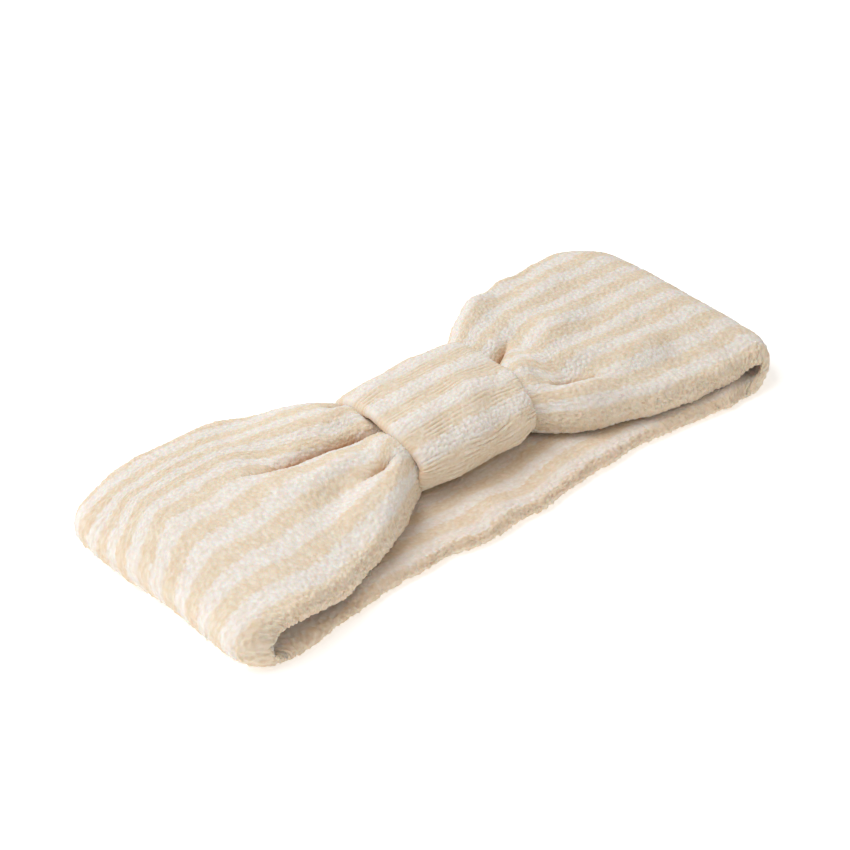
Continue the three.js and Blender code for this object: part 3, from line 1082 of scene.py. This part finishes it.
def wrap_loop():
    """The length of cloth round the wrap, at the middle of its wall."""
    y, z, _, _ = wrap_outline(WRAP_AROUND)
    outside = np.hypot(np.roll(y, -1) - y, np.roll(z, -1) - z).sum()
    return float(outside - math.pi * WRAP_WALL)


def wrap_profile():
    """From one end of the wrap to the other over the outside, round the end and back inside:
    the place along and the depth under the outside, as a closed line."""
    radius = WRAP_WALL / 2
    turn = np.linspace(0, math.pi, WRAP_END_POINTS)
    straight = WRAP_END - radius
    outer = np.linspace(-straight, straight, WRAP_LINE)
    round_end = straight + radius * np.sin(turn)
    x = np.concatenate([outer, round_end, outer[::-1], -round_end])
    sink = radius - radius * np.cos(turn)
    depth = np.concatenate([0 * outer, sink, 0 * outer + WRAP_WALL, WRAP_WALL - sink])
    return x, depth


def closed_grid_mesh(name, grid):
    """A mesh from a grid that closes on itself both ways, like the skin of a ring."""
    rows, columns = grid.shape[:2]
    index = np.arange(rows * columns).reshape(rows, columns)
    after = np.roll(index, -1, axis=1)
    below = np.roll(index, -1, axis=0)
    both = np.roll(after, -1, axis=0)
    faces = np.stack([index, after, both, below], axis=-1).reshape(-1, 4)
    return fast_mesh(name, grid.reshape(-1, 3), faces)


def wrap_stripes(around):
    """The stripes' angle round the wrap: one wide beige stripe on its front, the rest even."""
    start, width = WRAP_FRONT_STRIPE
    past_front = np.clip((around - start) % 1 - width, 0, 1) / (1 - width)
    return 2 * math.pi * WRAP_STRIPES * past_front


def wrap_relief(along, around, beige):
    """The wrap's pile from 0 to 1, parted into ribs on its beige stripes, and each loop's shade."""
    wander = RIB_WANDER * slow_waves(along, around, seed=21, lengths=(0.020, 0.070), count=18)
    strength = 0.5 + 0.5 * np.clip(slow_waves(along, around * 7, seed=23, lengths=(0.010, 0.030)), -1, 1)
    ribs = mix(0.5, np.abs(np.cos(math.pi * (WRAP_RIBS * around + wander))), strength)
    grains, tuft = loop_pile(along, around, WRAP_PILE_SIZE, WRAP_LOOPS, seed=31)
    rib_share = mix(WHITE_RIBS, BEIGE_RIBS, beige)
    return rib_share * ribs + (1 - rib_share) * grains, tuft


def centre_wrap_cloth():
    """The wrap's surface with its ribs standing, and what its material reads."""
    y, z, out_y, out_z = wrap_outline(WRAP_AROUND)
    line_x, line_depth = wrap_profile()
    outside = int(WRAP_ALONG * WRAP_OUTSIDE)
    cut = len(line_x) // 2
    first_x, first_depth = spaced(line_x[:cut], line_depth[:cut], outside + 1)
    second_x, second_depth = spaced(line_x[cut:], line_depth[cut:], WRAP_ALONG - outside + 1)
    x = np.concatenate([first_x[:-1], second_x[:-1]])[:, None]
    depth = np.concatenate([first_depth[:-1], second_depth[:-1]])[:, None]
    around = np.arange(WRAP_AROUND)[None, :] / WRAP_AROUND + np.zeros((WRAP_ALONG, 1))
    along = x + WRAP_END + np.zeros((1, WRAP_AROUND))
    end_wave = slow_waves(0 * along, around, seed=51, lengths=(1.0, 2.0), count=9)
    pull = WRAP_END_PULL * end_wave * (x / WRAP_END) ** 5
    crown = WRAP_CROWN * (1 - (x / WRAP_END) ** 2) - WRAP_END_DROP * np.abs(x / WRAP_END) ** 6
    stripe_angle = wrap_stripes(around)
    beige = 0.5 + 0.5 * np.cos(stripe_angle)
    pile, tuft = wrap_relief(along, around, beige)
    swell = slow_waves(along, around, seed=8, lengths=(0.014, 0.045))
    puff = WRAP_PUFF * (0.5 - beige)
    faces_front = smooth(-out_y[None, :] * 1.6 - 0.5)
    height = WRAP_PILE_HEIGHT * (1 + FRONT_PILE * faces_front)
    lift = height * (pile - PILE_MIDDLE) + WRAP_SWELL * swell + puff - depth + crown
    grid = np.empty((WRAP_ALONG, WRAP_AROUND, 3))
    grid[:, :, 0] = x + pull + WRAP_SKEW * (x / WRAP_END) ** 2 * y[None, :] / y.max()
    grid[:, :, 1] = y[None, :] + out_y[None, :] * lift
    grid[:, :, 2] = z[None, :] + out_z[None, :] * lift
    cloth = laid_round(along, around, wrap_loop())
    # Painted shade on the wrap's inside, deeper the further in the wall has turned.
    painted_shade = WRAP_INSIDE_PAINTED_SHADE * np.clip(depth / WRAP_WALL, 0, 1) + 0 * along
    return grid, (cloth, directions(stripe_angle), pile, tuft, painted_shade)


wrap_points, wrap_notes = centre_wrap_cloth()
wrap_material = striped_terry("wrap_terry", relief=0.22)
centre_wrap = closed_grid_mesh("centre_wrap", wrap_points)
finish_terry(centre_wrap, wrap_material, *wrap_notes)
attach(centre_wrap, "bow")
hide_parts("wrap_outer_layer", "wrap_inner_layer")

# ---------------------------------------------------------------------------
# The wrap's own seam. The tube is closed underneath, and the allowance of its
# two ends lies flat along the seam as a low terry ridge.
# ---------------------------------------------------------------------------
RIDGE_AROUND = 64
RIDGE_ALONG = 150
RIDGE_LOOPS = 14  # of pile round the roll
RIDGE_PILE = 0.10  # how far they stand, as a share of the roll's thickness
RIDGE_OVERHANG = 0.0003  # its ends would close this far past the wrap's seam
RIDGE_BLUNTNESS = 24  # the higher, the blunter its ends
RIDGE_END = 0.05  # least share of the section that is left at its ends
RIDGE_GIRTH = 2 * math.pi * 0.0185  # near the wrap's own, so that the fibres match
# Painted shade over the seam ridge, which lies under the wrap.
RIDGE_PAINTED_SHADE = 0.4


def seam_ridge():
    """A flattened roll of terry as long as the wrap."""
    low, high = (np.array(corner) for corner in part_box("wrap_seam_allowance"))
    centre, half = (low + high) / 2, (high - low) / 2
    angle = np.arange(RIDGE_AROUND) * 2 * math.pi / RIDGE_AROUND
    x = np.linspace(low[0], high[0], RIDGE_ALONG)[:, None] + np.zeros((1, RIDGE_AROUND))
    around = np.arange(RIDGE_AROUND)[None, :] / RIDGE_AROUND + 0 * x
    along = x - low[0]
    pile, tuft = loop_pile(along, around, PILE_SIZE, RIDGE_LOOPS, seed=61)
    past_middle = np.abs(x - centre[0]) / (half[0] + RIDGE_OVERHANG)
    closing = np.sqrt(np.clip(1 - past_middle**RIDGE_BLUNTNESS, RIDGE_END, 1))
    grown = (1 + RIDGE_PILE * pile) * closing
    y = centre[1] - half[1] * np.cos(angle)[None, :] * grown
    z = centre[2] + half[2] * np.sin(angle)[None, :] * grown
    ridge = grid_mesh("wrap_seam_ridge", np.stack([x, y, z], axis=-1)[:, ::-1])
    back_round = around[:, ::-1]
    cloth = laid_round(along, back_round, RIDGE_GIRTH)
    stripe = directions(2 * math.pi * back_round)
    # An even painted shade over the whole ridge.
    shade = np.full(pile.shape, RIDGE_PAINTED_SHADE)
    finish_terry(ridge, wrap_material, cloth, stripe, pile[:, ::-1], tuft[:, ::-1], shade)
    return ridge


wrap_seam_ridge = seam_ridge()
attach(wrap_seam_ridge, "bow")
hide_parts("wrap_seam_allowance")
wrap_loop()

# ---------------------------------------------------------------------------
# The tacks. A short dense zigzag of thread at each side fixes the wrap's lining
# to the gathered cloth, so that the wrap can't slide along the band.
# ---------------------------------------------------------------------------
TACK_PITCH = 0.0010
TACK_POINTS = 400


def zigzag_route(node_name):
    low, high = (np.array(corner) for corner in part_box(node_name))
    centre = (low + high) / 2
    y = np.linspace(low[1] + THREAD_RADIUS, high[1] - THREAD_RADIUS, TACK_POINTS)
    swing = np.arcsin(np.sin(2 * math.pi * y / TACK_PITCH)) / (math.pi / 2)
    x = centre[0] + swing * ((high[0] - low[0]) / 2 - THREAD_RADIUS)
    return np.stack([x, y, 0 * y + centre[2]], axis=-1)


for hand in ("left", "right"):
    node_name = f"wrap_tack_{hand}"
    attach(thread(f"{hand}_wrap_tack_stitches", zigzag_route(node_name), node_name), "bow")
